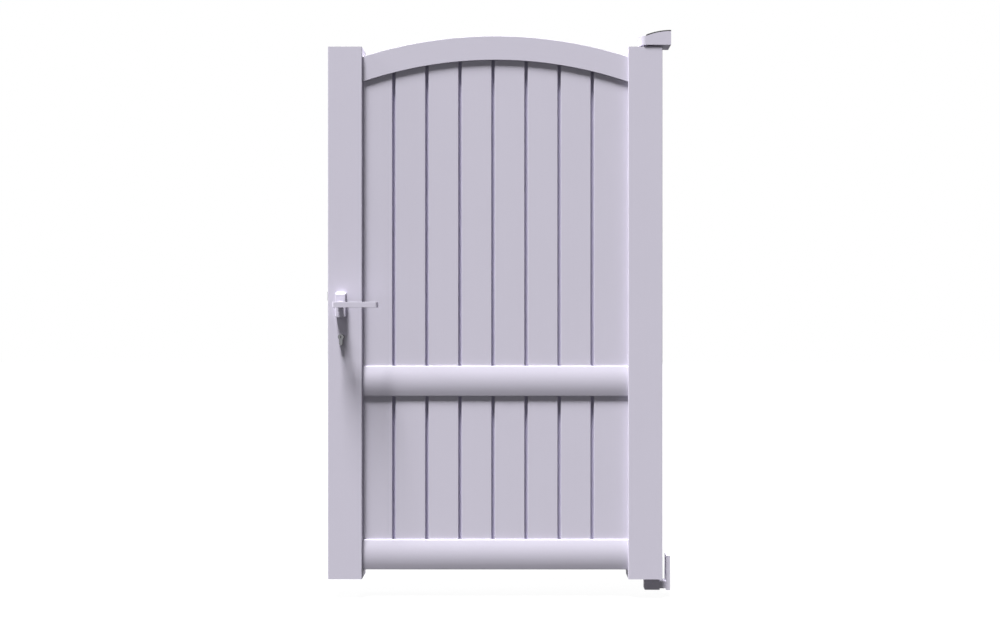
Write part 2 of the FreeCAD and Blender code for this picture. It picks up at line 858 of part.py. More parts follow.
# Small screws: two hold the faceplate, and a long one holds the lock cylinder. Each head stands on the plate.
outer_plate = latch_face - dim.faceplate_thickness
keep_group("faceplate_screws", [
    turned(f"faceplate_screw_{number}", countersunk_profile(dim.faceplate_screw_length),
           outer_plate, 0, lever_height + level, "X")
    for number, level in enumerate(faceplate_screws, start=1)
])
cylinder_screw_length = dim.faceplate_thickness + dim.backset + dim.cylinder_stem / 2
keep(turned("cylinder_screw", countersunk_profile(cylinder_screw_length),
            outer_plate, 0, cylinder_z + cylinder_screw_level, "X"))

# Latch bolt: a head bevelled on the street side, with a flat tail beside the follower's lug
lug_radius = dim.lug_width / 2
latch_bolt = new_body("latch_bolt", spindle_x, 0, lever_height)
plate_face = case_mouth - dim.faceplate_thickness
latch_tip = plate_face - dim.latch_throw
latch_back = latch_tip + dim.latch_body
latch_plan = [
    (latch_tip, bolt_half),
    (latch_tip, bolt_half - dim.bolt_thickness / 4),
    (plate_face, -bolt_half),
    (latch_back, -bolt_half),
    (latch_back, bolt_half),
]
pad(latch_bolt, "XY", [latch_plan], dim.latch_height, 1, latch_low)
tab_near = lug_radius + dim.bolt_play
tab_far = tab_near + dim.latch_tab
tail_side = bolt_half - dim.tail_thickness
pad(latch_bolt, "XY", [rectangle(latch_back, tail_side, tab_far, bolt_half)], dim.tail_height, 1, latch_low)
pad(latch_bolt, "XY", [rectangle(tab_near, -bolt_half, tab_far, tail_side)], dim.tail_height, 1, latch_low)
keep(latch_bolt)

# Deadbolt: a square head with a flat tail, notched where the cylinder's cam drives it
deadbolt = new_body("deadbolt", spindle_x, 0, lever_height)
deadbolt_tip = plate_face + dim.bolt_play
deadbolt_back = deadbolt_tip + dim.deadbolt_body
deadbolt_end = deadbolt_back + dim.deadbolt_tail
pad(deadbolt, "XY", [rectangle(deadbolt_tip, -bolt_half, deadbolt_back, bolt_half)],
    dim.deadbolt_height, 1, deadbolt_low)
notch_half = dim.deadbolt_notch / 2
notch_middle = deadbolt_end - dim.deadbolt_notch
notch_top = deadbolt_low + dim.deadbolt_notch
tail = [
    (deadbolt_back, deadbolt_low),
    (notch_middle - notch_half, deadbolt_low),
    (notch_middle - notch_half, notch_top),
    (notch_middle + notch_half, notch_top),
    (notch_middle + notch_half, deadbolt_low),
    (deadbolt_end, deadbolt_low),
    (deadbolt_end, deadbolt_high),
    (deadbolt_back, deadbolt_high),
]
pad(deadbolt, "XZ", [tail], dim.tail_thickness, 1, tail_side)
keep(deadbolt)

# Follower: the lock's turning hub, with journals in the case's sides and a lug that draws the latch back
follower = new_body("follower", spindle_x, 0, lever_height)
inner_thickness = dim.case_thickness - 2 * dim.case_wall - 2 * dim.running_play
pad(follower, "XZ", [circle(0, 0, dim.follower_diameter)], inner_thickness, 0)
pad(follower, "XZ", [circle(0, 0, dim.follower_journal)], dim.case_thickness, 0)
lug = [
    (-lug_radius, 0),
    (lug_radius, 0),
    (lug_radius, dim.follower_lug),
    (-lug_radius, dim.follower_lug, 0, dim.follower_lug, 1),
]
pad(follower, "XZ", [lug], dim.lug_thickness, 0)
square_half = (dim.spindle_side + dim.running_play) / 2
square_hole = rectangle(-square_half, -square_half, square_half, square_half)
pocket(follower, "XZ", [square_hole])
keep(follower)

# Spindle: a square steel bar through the follower into both levers
spindle = new_body("spindle", spindle_x, 0, lever_height)
spindle_half = dim.spindle_side / 2
spindle_length = dim.upright_depth + 2 * dim.spindle_reach
pad(spindle, "XZ", [rectangle(-spindle_half, -spindle_half, spindle_half, spindle_half)], spindle_length, 0)
keep(spindle)

# Lock cylinder: a profile body through the upright, with a keyed plug from each side and a cam between them
cylinder_length = dim.upright_depth + 2 * dim.cylinder_proud
cylinder_body = new_body("cylinder_body", spindle_x, 0, cylinder_z)
pad(cylinder_body, "XZ", [cylinder_outline(0, 0, 0)], cylinder_length, 0)
cam_gap = rectangle(-dim.cylinder_diameter, cam_gap_low, dim.cylinder_diameter, dim.cylinder_diameter)
pocket(cylinder_body, "XZ", [cam_gap], dim.cam_width + 2 * dim.cam_play, 0)
pocket(cylinder_body, "XZ", [circle(0, 0, dim.plug_diameter + dim.running_play)])
pocket(cylinder_body, "YZ", [circle(0, cylinder_screw_level, small_hole)])
keep(cylinder_body)


def cylinder_plug(label, side):
    body = new_body(label, spindle_x, 0, cylinder_z)
    start = dim.cam_width / 2 + dim.cam_play
    face = cylinder_length / 2
    pad(body, "XZ", [circle(0, 0, dim.plug_diameter)], face - start, side, side * start)
    half = dim.keyway_width / 2
    keyway = rectangle(-half, -dim.keyway_height / 2, half, dim.keyway_height / 2)
    pocket(body, "XZ", [keyway], dim.keyway_depth, -side, side * face)
    keep(body)


cylinder_plug("front_cylinder_plug", -1)
cylinder_plug("back_cylinder_plug", 1)
cam = new_body("cylinder_cam", spindle_x, 0, cylinder_z)
pad(cam, "XZ", [circle(0, 0, dim.cam_ring)], dim.cam_width, 0)
nose_half = dim.cam_nose / 2
nose_end = nose_half - dim.cam_reach
nose = [
    (-nose_half, 0),
    (-nose_half, nose_end),
    (nose_half, nose_end, 0, nose_end, 1),
    (nose_half, 0),
]
pad(cam, "XZ", [nose], dim.cam_width, 0)
keep(cam)


# Rosettes: cast plates under the levers. Two bolts from the garden side draw both against the upright.
def rosette(label, side):
    body = new_body(label, spindle_x, side * dim.upright_depth / 2, lever_height)
    half_width = dim.rosette_width / 2
    half_height = dim.rosette_height / 2
    outline = rounded_rectangle(-half_width, -half_height, half_width, half_height, dim.rosette_corner)
    pad(body, "XZ", [outline], dim.rosette_thickness, side)
    face = dim.rosette_thickness.value

    def on_outer_face(edge):
        return all(abs(abs(vertex.Y) - face) < 1e-6 for vertex in edge.Vertexes)

    round_edges(body, dim.rosette_edge, on_outer_face)
    brow = dim.rosette_brow
    shoulder = dim.rosette_thickness - brow
    waste = [
        (side * shoulder, half_height, side * shoulder, half_height - brow, side),
        (side * shoulder, half_height + brow),
        (side * (dim.rosette_thickness + brow), half_height + brow),
        (side * (dim.rosette_thickness + brow), half_height - brow),
        (side * dim.rosette_thickness, half_height - brow),
    ]
    pocket(body, "YZ", [waste])
    pocket(body, "XZ", [circle(0, 0, dim.neck_diameter + dim.running_play)])
    holes = [circle(0, level, small_hole) for level in rosette_bolts]
    if side < 0:
        pocket(body, "XZ", holes, dim.rosette_thread, side)
    else:
        pocket(body, "XZ", holes)
        heads = [circle(0, level, dim.small_head + dim.screw_play) for level in rosette_bolts]
        head_room = dim.small_head_height + dim.rosette_head_drop
        pocket(body, "XZ", heads, head_room, -side, side * dim.rosette_thickness)
    keep(body)


rosette("front_rosette", -1)
rosette("back_rosette", 1)
bolt_seat = dim.upright_depth / 2 + dim.rosette_thickness - dim.small_head_height - dim.rosette_head_drop
bolt_length = bolt_seat + dim.upright_depth / 2 + dim.rosette_thread - dim.rosette_bolt_spare
rosette_bolt = headed_profile(dim.small_screw, bolt_length, dim.small_head, dim.small_head_height)
keep_group("rosette_bolts", [
    turned(f"rosette_bolt_{number}", rosette_bolt, spindle_x, bolt_seat, lever_height + level, "-Y")
    for number, level in enumerate(rosette_bolts, start=1)
])


# Levers: a flat bar that returns towards the gate at its end, on a round neck that turns in the rosette
def lever(label, side):
    body = new_body(label, spindle_x, 0, lever_height)
    middle = dim.upright_depth / 2 + dim.lever_reach
    half = dim.lever_depth_of_bar / 2
    outer = middle + half
    inner = middle - half
    tip = dim.lever_length
    bend = dim.lever_bend
    inside = tip - dim.lever_depth_of_bar
    inside_bend = dim.lever_depth_of_bar / 3
    end = outer - dim.lever_return
    heel = half - dim.lever_tail
    plan = [
        (heel, side * outer, heel, side * middle, -side),
        (tip - bend, side * outer),
        (tip, side * (outer - bend), tip - bend, side * (outer - bend), -side),
        (tip, side * end),
        (inside, side * end),
        (inside, side * (inner - inside_bend)),
        (inside - inside_bend, side * inner, inside - inside_bend, side * (inner - inside_bend), side),
        (heel, side * inner),
    ]
    pad(body, "XY", [plan], dim.lever_height_of_bar, 0)
    top = dim.lever_height_of_bar.value / 2

    def on_top_or_bottom(edge):
        return all(abs(abs(vertex.Z) - top) < 1e-6 for vertex in edge.Vertexes)

    round_edges(body, dim.lever_edge, on_top_or_bottom)
    neck_end = dim.upright_depth / 2 + dim.neck_tip_gap
    pad(body, "XZ", [circle(0, 0, dim.neck_diameter)], middle - neck_end, side, side * neck_end)
    socket_depth = dim.spindle_reach + dim.running_play - dim.neck_tip_gap
    pocket(body, "XZ", [square_hole], socket_depth, side, side * neck_end)
    grub_place = side * (dim.upright_depth / 2 + dim.grub_offset)
    pocket(body, "XY", [circle(0, grub_place, small_hole)], way=-1)
    keep(body)


lever("front_lever", -1)
lever("back_lever", 1)
grub_profile = rectangle(0, 0, dim.small_screw / 2, dim.grub_length)
grub_seat = lever_height - spindle_half - dim.running_play
keep_group("lever_grub_screws", [
    turned(f"{name}_grub_screw", grub_profile, spindle_x,
           side * (dim.upright_depth / 2 + dim.grub_offset), grub_seat, "-Z")
    for name, side in (("front", -1), ("back", 1))
])

# Top wall bracket: a cast housing, arched towards the wall, that reaches over the hinge upright
housing_under = dim.leaf_height + dim.top_gap
lid_drop = dim.lid_radius - (dim.lid_radius * dim.lid_radius - dim.lid_length * dim.lid_length).root()
housing_top = dim.housing_height - lid_drop
lid_centre = dim.housing_height - dim.lid_radius
housing_middle = (dim.housing_back - dim.housing_front) / 2
housing_depth = dim.housing_front + dim.housing_back
housing = new_body("top_hinge_housing", 0, housing_middle, housing_under)
elevation = [
    (-dim.housing_length, 0),
    (0, 0),
    (0, dim.housing_height),
    (-dim.lid_length, housing_top, 0, lid_centre, 1),
    (-dim.housing_length, housing_top),
]
pad(housing, "XZ", [elevation], housing_depth, 0)
free_end = -dim.housing_length.value


def at_free_end(edge):
    return runs_along(edge, Vector(0, 0, 1)) and abs(edge.Vertexes[0].X - free_end) < 1e-6


round_edges(housing, dim.housing_corner, at_free_end)
room_end = dim.housing_wall - dim.lid_length
room_half = housing_depth / 2 - dim.housing_wall
room = rectangle(room_end, -room_half, -dim.wall_flange, room_half)
pocket(housing, "XY", [room], way=1, at=dim.housing_floor)
pin_hole = dim.pin_diameter + 4 * dim.running_play
pin_slot = slot(pivot_x - dim.slide_travel, pivot_x + dim.slide_travel, -housing_middle, pin_hole)
clamp_x = pivot_x + dim.clamp_offset
clamp_hole = circle(clamp_x, -housing_middle, dim.clamp_diameter + dim.screw_play)
pocket(housing, "XY", [pin_slot, clamp_hole], way=-1, at=dim.housing_floor)
anchor_level = (dim.housing_floor + dim.housing_height) / 2
pocket(housing, "YZ", [circle(0, anchor_level, dim.anchor_hole)], dim.wall_flange, -1)
keep(housing)

# Lid: a curved plastic cover over the housing's fixings, with a rib that fits inside its walls
lid = new_body("top_hinge_lid", 0, housing_middle, housing_under)
lid_outer = dim.lid_radius + dim.lid_thickness
lid_end = lid_centre + (lid_outer * lid_outer - dim.lid_length * dim.lid_length).root()
lid_side = [
    (0, dim.housing_height, 0, lid_centre, -1),
    (0, dim.housing_height + dim.lid_thickness),
    (-dim.lid_length, lid_end, 0, lid_centre, 1),
    (-dim.lid_length, housing_top),
]
pad(lid, "XZ", [lid_side], housing_depth, 0)
rib_near = -dim.wall_flange - dim.lid_fit
rib_far = room_end + dim.lid_fit
rib_radius = dim.lid_radius - dim.lid_rib


def lid_height(radius, x):
    return lid_centre + (radius * radius - x * x).root()


rib = [
    (rib_near, lid_height(rib_radius, rib_near), 0, lid_centre, -1),
    (rib_near, lid_height(dim.lid_radius, rib_near)),
    (rib_far, lid_height(dim.lid_radius, rib_far), 0, lid_centre, 1),
    (rib_far, lid_height(rib_radius, rib_far)),
]
pad(lid, "XZ", [rib], 2 * (room_half - dim.lid_fit), 0)
keep(lid)

# Top pivot: a slide on the housing's floor, held by a clamp screw, with the pin that hangs from it
slide_level = housing_under + dim.housing_floor
slide = new_body("top_pivot_slide", pivot_x, 0, slide_level)
slide_half = dim.slide_width / 2
slide_far = dim.clamp_offset + dim.slide_tail
slide_near = -slide_half - dim.running_play
pad(slide, "XY", [rectangle(slide_near, -slide_half, slide_far, slide_half)], dim.slide_thickness)
clamp_slot = slot(dim.clamp_offset - dim.slide_travel / 2, dim.clamp_offset + dim.slide_travel / 2, 0,
                  dim.clamp_diameter + dim.screw_play)
pocket(slide, "XY", [circle(0, 0, dim.pin_diameter + dim.running_play), clamp_slot])
keep(slide)


def pin_profile(length):
    """Half section of a pivot pin with a bevelled tip, from its fixed end."""
    radius = dim.pin_diameter / 2
    return [
        (0, 0),
        (radius, 0),
        (radius, length - dim.pin_chamfer),
        (radius - dim.pin_chamfer, length),
        (0, length),
    ]


top_pin_length = dim.slide_thickness + dim.housing_floor + dim.top_gap + dim.pin_engagement
keep(turned("top_pivot_pin", pin_profile(top_pin_length), pivot_x, 0, slide_level + dim.slide_thickness, "-Z"))
clamp_profile = headed_profile(
    dim.clamp_diameter, dim.slide_thickness + dim.housing_floor, dim.clamp_head, dim.clamp_head_height)
keep(turned("top_clamp_screw", clamp_profile, clamp_x, 0, slide_level + dim.slide_thickness, "-Z"))

# Bottom wall bracket: a wall plate, an arm and a block cast in one, with two counterbored fixing holes
bracket = new_body("bottom_hinge_bracket")
block_top = -dim.washer_thickness
block_left = pivot_x - dim.block_nose
block_right = block_left + dim.block_length
arm_low = dim.arm_rise - dim.plate_below
pad(bracket, "XZ", [rectangle(-dim.plate_thickness, -dim.plate_below, 0, dim.plate_above)], dim.plate_depth, 0)
pad(bracket, "XZ", [rectangle(block_right, arm_low, -dim.plate_thickness, arm_low + dim.arm_height)],
    dim.arm_depth, 0)
pad(bracket, "XZ", [rectangle(block_left, -dim.plate_below, block_right, block_top)], dim.block_depth, 0)
block_end = block_left.value


def at_block_end(edge):
    return runs_along(edge, Vector(0, 0, 1)) and abs(edge.Vertexes[0].X - block_end) < 1e-6


round_edges(bracket, dim.block_edge, at_block_end)
pocket(bracket, "XY", [circle(pivot_x, 0, dim.pin_diameter + dim.running_play)])
bracket_holes = [
    dim.bracket_hole_middle - dim.bracket_hole_spacing / 2,
    dim.bracket_hole_middle + dim.bracket_hole_spacing / 2,
]
pocket(bracket, "YZ", [circle(0, level, dim.bracket_hole) for level in bracket_holes], dim.plate_thickness, -1)
pocket(bracket, "YZ", [circle(0, level, dim.counterbore_diameter) for level in bracket_holes],
       dim.counterbore_depth, 1, -dim.plate_thickness)
keep(bracket)

# Bottom pivot: a pin that stands in the block, and a washer on which the leaf turns
bottom_pin_length = dim.plate_below + dim.pin_engagement
keep(turned("bottom_pivot_pin", pin_profile(bottom_pin_length), pivot_x, 0, -dim.plate_below))
washer_profile = ring_profile(dim.pin_diameter + 4 * dim.running_play, dim.washer_diameter, dim.washer_thickness)
keep(turned("bottom_thrust_washer", washer_profile, pivot_x, 0, block_top))

# Check every feature and every piece, then write the pieces
doc.recompute()
for item in doc.Objects:
    if "Invalid" in item.State or "Error" in item.State:
        raise RuntimeError(f"{item.Label} failed: {item.State}")
for piece in pieces:
    if piece.Shape.isNull() or not piece.Shape.isValid() or not piece.Shape.Solids:
        raise RuntimeError(f"{piece.Label} has no valid solid")
os.makedirs("parts", exist_ok=True)
for piece in pieces:
    piece.Shape.exportStep(f"parts/{piece.Label}.step")
print(f"{len(pieces)} pieces written")
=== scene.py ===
import math

import bpy
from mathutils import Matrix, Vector


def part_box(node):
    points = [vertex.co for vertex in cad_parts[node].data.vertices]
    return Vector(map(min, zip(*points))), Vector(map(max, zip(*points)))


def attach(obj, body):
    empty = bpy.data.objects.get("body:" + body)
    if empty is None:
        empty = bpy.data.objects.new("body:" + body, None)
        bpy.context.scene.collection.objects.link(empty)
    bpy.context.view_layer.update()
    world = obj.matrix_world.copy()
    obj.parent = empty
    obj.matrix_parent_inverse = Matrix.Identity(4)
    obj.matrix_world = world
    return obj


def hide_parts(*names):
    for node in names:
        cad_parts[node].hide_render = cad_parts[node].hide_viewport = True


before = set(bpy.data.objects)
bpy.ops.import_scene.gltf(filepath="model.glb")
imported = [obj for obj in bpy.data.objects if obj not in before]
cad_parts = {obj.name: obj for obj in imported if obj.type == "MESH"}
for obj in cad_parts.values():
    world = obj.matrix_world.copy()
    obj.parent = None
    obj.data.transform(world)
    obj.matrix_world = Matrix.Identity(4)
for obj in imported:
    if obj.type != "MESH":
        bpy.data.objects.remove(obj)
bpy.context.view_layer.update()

# The view: a level camera in the street, a little to the right of the leaf's middle and at half its height.
# It looks straight at the leaf, so the uprights stay parallel.
camera_data = bpy.data.cameras.new("street_view")
camera_data.sensor_width = 36
camera_data.lens = 28.65
camera_data.shift_x = -0.018
camera_data.shift_y = 0.007
camera = bpy.data.objects.new("street_view", camera_data)
camera.location = (-0.4503, -2.372, 0.7722)
camera.rotation_euler = (math.radians(90), 0, 0)
bpy.context.scene.collection.objects.link(camera)
bpy.context.scene.camera = camera


# Uprights: drawn aluminium tubes with softly rounded corners, cut to length and powder-coated in a pale
# lilac grey. The baked coat flows to a satin skin with a faint orange-peel texture.
class Wire:
    """One output of a node. Sums on it add Math nodes to the same tree."""

    def __init__(self, node, output=0):
        self.node = node
        self.socket = node.outputs[output]

    def add(self, kind, settings, sockets, output=0):
        """Add a node to the tree: its settings first, then the values or wires of its sockets. The setting
        named choices is how many values an Index Switch picks from."""
        tree = self.node.id_data
        node = tree.nodes.new(kind)
        for name, value in settings.items():
            if name == "choices":
                for extra in range(value - len(node.index_switch_items)):
                    node.index_switch_items.new()
            else:
                setattr(node, name, value)
        for name, value in sockets.items():
            if isinstance(value, Wire):
                tree.links.new(value.socket, node.inputs[name])
            else:
                node.inputs[name].default_value = value
        return Wire(node, output)

    def sum(self, operation, first, second):
        return self.add("ShaderNodeMath", {"operation": operation}, {0: first, 1: second})

    def __add__(self, other):
        return self.sum("ADD", self, other)

    def __sub__(self, other):
        return self.sum("SUBTRACT", self, other)

    def __rsub__(self, other):
        return self.sum("SUBTRACT", other, self)

    def __mul__(self, other):
        return self.sum("MULTIPLY", self, other)

    def __pow__(self, other):
        return self.sum("POWER", self, other)

    __radd__ = __add__
    __rmul__ = __mul__

    def parts(self):
        """The three lengths of a place, as separate wires."""
        split = self.add("ShaderNodeSeparateXYZ", {}, {"Vector": self})
        return split, Wire(split.node, "Y"), Wire(split.node, "Z")

    def join(self, x, y, z):
        return self.add("ShaderNodeCombineXYZ", {}, {"X": x, "Y": y, "Z": z})

    def noise(self, scale, detail=2.0, stretch=(1, 1, 1)):
        """Soft noise over this place, drawn out along the axes with a small stretch."""
        place = self.add("ShaderNodeMapping", {}, {"Vector": self, "Scale": stretch})
        sockets = {"Vector": place, "Scale": scale, "Detail": detail}
        return place.add("ShaderNodeTexNoise", {}, sockets, "Fac")

    def shade(self, first, second):
        """A colour between two, by this value. The Mix node takes colours on sockets 6 and 7, and gives one
        on 2."""
        first, second = (end if isinstance(end, Wire) else (*end, 1) for end in (first, second))
        return self.add("ShaderNodeMix", {"data_type": "RGBA"}, {0: self, 6: first, 7: second}, 2)

    def bump(self, height, strength):
        sockets = {"Height": self, "Distance": height, "Strength": strength}
        return self.add("ShaderNodeBump", {}, sockets, "Normal")


def new_finish(name, settings):
    """A material with its fixed numbers on the shader, and the place on the object to paint by."""
    material = bpy.data.materials.new(name)
    material.use_nodes = True
    nodes = material.node_tree.nodes
    surface = nodes["Principled BSDF"]
    for socket, value in settings.items():
        surface.inputs[socket].default_value = value
    place = Wire(nodes.new("ShaderNodeTexCoord"), "Object")
    return material, surface, place


def paint(surface, **wires):
    for socket, wire in wires.items():
        surface.id_data.links.new(wire.socket, surface.inputs[socket.replace("_", " ").title()])


def dress(material, *names):
    """Give CAD nodes their finish."""
    for name in names:
        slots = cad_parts[name].data.materials
        slots.clear()
        slots.append(material)


LILAC_GREY = (0.548, 0.522, 0.612)


def toned(tone):
    """The coat's colour, made deeper or lighter."""
    return tuple(tone * part for part in LILAC_GREY)


def powder_coat(name, skin, peel=650.0, shade_mask=None, shade_colour=None):
    """Powder coat: skin makes what shows through from below, peel is how many ripples there are to a
    metre, and the last two give where and in what colour a painted joint shade goes."""
    material, surface, place = new_finish(name, {"IOR": 1.45, "Specular IOR Level": 0.25})
    cloud = place.noise(scale=3.0, detail=3.0)
    ripple = place.noise(scale=peel, detail=3.0)
    under = skin(place)
    colour = (0.7 * cloud + 0.3 * under).shade(toned(0.968), toned(1.027))
    # Painted shade: the joints take a deeper, bluer colour in place of the light that bounces inside them.
    if shade_mask:
        colour = shade_mask(place).shade(colour, shade_colour)
    satin = 0.53 + 0.08 * place.noise(scale=40.0) + 0.05 * ripple + 0.04 * under
    paint(surface, base_color=colour, roughness=satin,
          normal=(ripple + 0.6 * under).bump(height=0.0001, strength=0.5))
    return material


die_lines = 420.0
drawn_out = 0.004


def drawn_upright(place):
    """The die's fine lines, along the height."""
    return place.noise(die_lines, stretch=(1.0, 1.0, drawn_out))


tube_coat = powder_coat("tube_coat", drawn_upright)
dress(tube_coat, "latch_upright", "hinge_upright")

# End caps and pivot plugs: cast aluminium plates over the tubes' ends, coated with them. The latch side's
# caps have a thin skirt inside the tube, and the hinge side's plugs are deep blocks that carry the bushes.
cast_peel = 520.0


def cast_skin(place):
    """The soft unevenness of a sand-blasted casting."""
    return place.noise(scale=150.0, detail=4.0)


cast_coat = powder_coat("cast_coat", cast_skin, cast_peel)
dress(cast_coat, "latch_top_cap", "latch_bottom_cap", "hinge_top_plug", "hinge_bottom_plug")

# Pivot bushes: turned nylon sleeves pressed into the plugs, in which the pins turn. The dark nylon is
# flecked and a little uneven from the lathe.
nylon, surface, place = new_finish("dark_nylon", {"IOR": 1.5})
fleck = place.noise(scale=500.0, detail=3.0)
paint(surface, base_color=fleck.shade((0.030, 0.030, 0.033), (0.05, 0.05, 0.053)),
      roughness=0.48 + 0.15 * fleck, normal=fleck.bump(height=0.00005, strength=0.4))
dress(nylon, "top_pivot_bush", "bottom_pivot_bush")


# Straight rails: one hollow aluminium extrusion with crowned faces, cut twice and screwed between the
# uprights. The die's lines run along their length under the coat.
def drawn_across(place):
    return place.noise(die_lines, stretch=(drawn_out, 1.0, 1.0))


rail_coat = powder_coat("rail_coat", drawn_across)
dress(rail_coat, "middle_rail", "bottom_rail")

# Arched rail: the flat-faced extrusion of the top, rolled to a circle. Its die lines follow the curve, so
# they are drawn by the distance from the circle's centre.
arch_low, arch_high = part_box("arch_rail")
arch_rise = 0.061
half_span = (arch_high[0] - arch_low[0]) / 2
arch_radius = (half_span ** 2 + arch_rise ** 2) / (2 * arch_rise)
arch_middle = (arch_low[0] + arch_high[0]) / 2
arch_centre = arch_high[2] - arch_radius


def rolled(place):
    x, y, z = place.parts()
    out = ((x - arch_middle) ** 2 + (z - arch_centre) ** 2) ** 0.5
    return place.join(drawn_out * x, y, out).noise(die_lines)


arch_coat = powder_coat("arch_coat", rolled)
dress(arch_coat, "arch_rail")

# Arch cleats: sawn blocks of plain aluminium in the ends of the arched rail, tapped for its screws. The saw
# leaves fine marks across them.
sawn, surface, place = new_finish("sawn_aluminium", {"Metallic": 1.0})
cuts = place.noise(scale=300.0, stretch=(1.0, 0.05, 1.0))
paint(surface, base_color=cuts.shade((0.66, 0.66, 0.68), (0.78, 0.78, 0.8)), roughness=0.35 + 0.2 * cuts)
dress(sawn, "latch_arch_cleat", "hinge_arch_cleat")

# Boards: hollow aluminium planks, drawn with a slot on one edge and a tongue on the other, and coated. They
# stand in the rails' channels and lock into each other. In the joints the colour is a painted shade: a
# deeper, bluer lilac in place of the light that bounces inside them.
# A painted shade for the joints: the coat's lilac, made a little darker and bluer.
joint_bounce_tint = (0.53, 0.502, 0.63)
board_peel = 700.0
board_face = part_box("upper_board_2")[1][1]
joint_mouth = board_face - 0.0006
joint_inside = board_face - 0.0018


def joint_shade_mask(place):
    """Where the painted joint shade goes: one below the boards' front and back faces, and nothing on them.
    """
    depth = place.parts()[1]
    return depth.add("ShaderNodeMapRange", {"interpolation_type": "SMOOTHSTEP"},
                     {"Value": depth * depth, "From Min": joint_inside ** 2, "From Max": joint_mouth ** 2,
                      "To Min": 1.0, "To Max": 0.0})


board_coat = powder_coat("board_coat", drawn_upright, board_peel, joint_shade_mask, joint_bounce_tint)
board_count = sum(name.startswith("upper_board_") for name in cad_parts)
for number in range(1, board_count + 1):
    dress(board_coat, f"upper_board_{number}", f"lower_board_{number}")

# Rail screws and access plugs: stainless screws through the uprights into the rails' screw ports, and
# moulded plastic discs that snap into the holes they went in by.
brushed, surface, place = new_finish("brushed_stainless", {"Metallic": 1.0})
lines = place.noise(scale=1400.0, stretch=(1.0, 1.0, 0.012))
paint(surface, base_color=lines.shade((0.52, 0.52, 0.535), (0.66, 0.66, 0.67)),
      roughness=0.26 + 0.16 * lines, normal=lines.bump(height=0.00002, strength=0.3))
dress(brushed, "rail_screws")
plug_plastic, surface, place = new_finish("plug_plastic", {"IOR": 1.46, "Specular IOR Level": 0.35})
grain = place.noise(scale=900.0)
paint(surface, base_color=place.noise(scale=60.0).shade((0.50, 0.48, 0.55), (0.54, 0.515, 0.59)),
      roughness=0.5 + 0.1 * grain, normal=grain.bump(height=0.00004, strength=0.4))
dress(plug_plastic, "access_plugs")

# Lock: a folded zinc-plated steel case with a stainless faceplate, latch and deadbolt, all ground along
# their length. The plating has a cloudy bloom.
dress(brushed, "lock_faceplate", "latch_bolt", "deadbolt", "spindle")
zinc, surface, place = new_finish("zinc_plate", {"Metallic": 0.9})
bloom = place.noise(scale=120.0, detail=4.0)
paint(surface, base_color=bloom.shade((0.42, 0.44, 0.47), (0.56, 0.58, 0.6)), roughness=0.34 + 0.22 * bloom)
dress(zinc, "lock_case", "follower")

# Socket screws: stainless screws with bevelled round heads and a hexagonal key hole, turned and broached.
# Two hold the faceplate, one the cylinder, two clamp the rosettes, and two without heads fix the levers.
tree = bpy.data.node_groups.new("socket_screw", "GeometryNodeTree")
for label, kind in (("Seats", "Geometry"), ("Direction", "Vector"), ("Head radius", "Float"),
                    ("Head height", "Float"), ("Shank radius", "Float"), ("Shank length", "Float"),
                    ("Key width", "Float"), ("Key depth", "Float"), ("Finish", "Material")):
    tree.interface.new_socket(label, in_out="INPUT", socket_type=f"NodeSocket{kind}")
tree.interface.new_socket("Screws", in_out="OUTPUT", socket_type="NodeSocketGeometry")
given = tree.nodes.new("NodeGroupInput")
seats, direction, head_radius, head_height, shank_radius, shank_length, key_width, key_depth, finish = (
    Wire(given, number) for number in range(9))
ring = Wire(tree.nodes.new("GeometryNodeInputIndex"))


def by_ring(*values):
    """A value for each ring of the turned outline, from the head's top to the shank's end."""
    return ring.add("GeometryNodeIndexSwitch", {"data_type": "FLOAT", "choices": len(values)},
                    {"Index": ring, **{1 + number: value for number, value in enumerate(values)}})


bevel_width = 0.88
bevel_depth = 0.25
shoulder = 0.0001
round_sides = 32
hexagon_corner = 0.57735
seat = -1 * head_height
levels = (0.0, bevel_depth * seat, seat, seat - shoulder, seat - shank_length)
radii = (bevel_width * head_radius, head_radius, head_radius, shank_radius, shank_radius)
axis = ring.add("GeometryNodeMeshLine", {}, {"Count": len(levels)})
axis = axis.add("GeometryNodeMeshToCurve", {}, {"Mesh": axis})
axis = axis.add("GeometryNodeSetPosition", {},
                {"Geometry": axis, "Position": axis.join(0, 0, by_ring(*levels))})
round_bar = axis.add("GeometryNodeCurvePrimitiveCircle", {}, {"Resolution": round_sides, "Radius": 1.0},
                     "Curve")
blank = axis.add("GeometryNodeCurveToMesh", {},
                 {"Curve": axis, "Profile Curve": round_bar, "Scale": by_ring(*radii), "Fill Caps": True})
key_hole = blank.add("GeometryNodeMeshCylinder", {"fill_type": "NGON"},
                     {"Vertices": 6, "Radius": hexagon_corner * key_width, "Depth": 2 * key_depth}, "Mesh")
screw = blank.add("GeometryNodeMeshBoolean", {"operation": "DIFFERENCE", "solver": "EXACT"},
                  {"Mesh 1": blank, "Mesh 2": key_hole}, "Mesh")
turn = direction.add("FunctionNodeAlignRotationToVector", {"axis": "Z"}, {"Vector": direction})
points = seats.add("GeometryNodeMeshToPoints", {}, {"Mesh": seats})
placed = points.add("GeometryNodeInstanceOnPoints", {},
                    {"Points": points, "Instance": screw, "Rotation": turn})
plain = placed.add("GeometryNodeRealizeInstances", {}, {"Geometry": placed})
dressed = plain.add("GeometryNodeSetMaterial", {}, {"Geometry": plain, "Material": finish})
result = tree.nodes.new("NodeGroupOutput")
tree.links.new(dressed.socket, result.inputs[0])


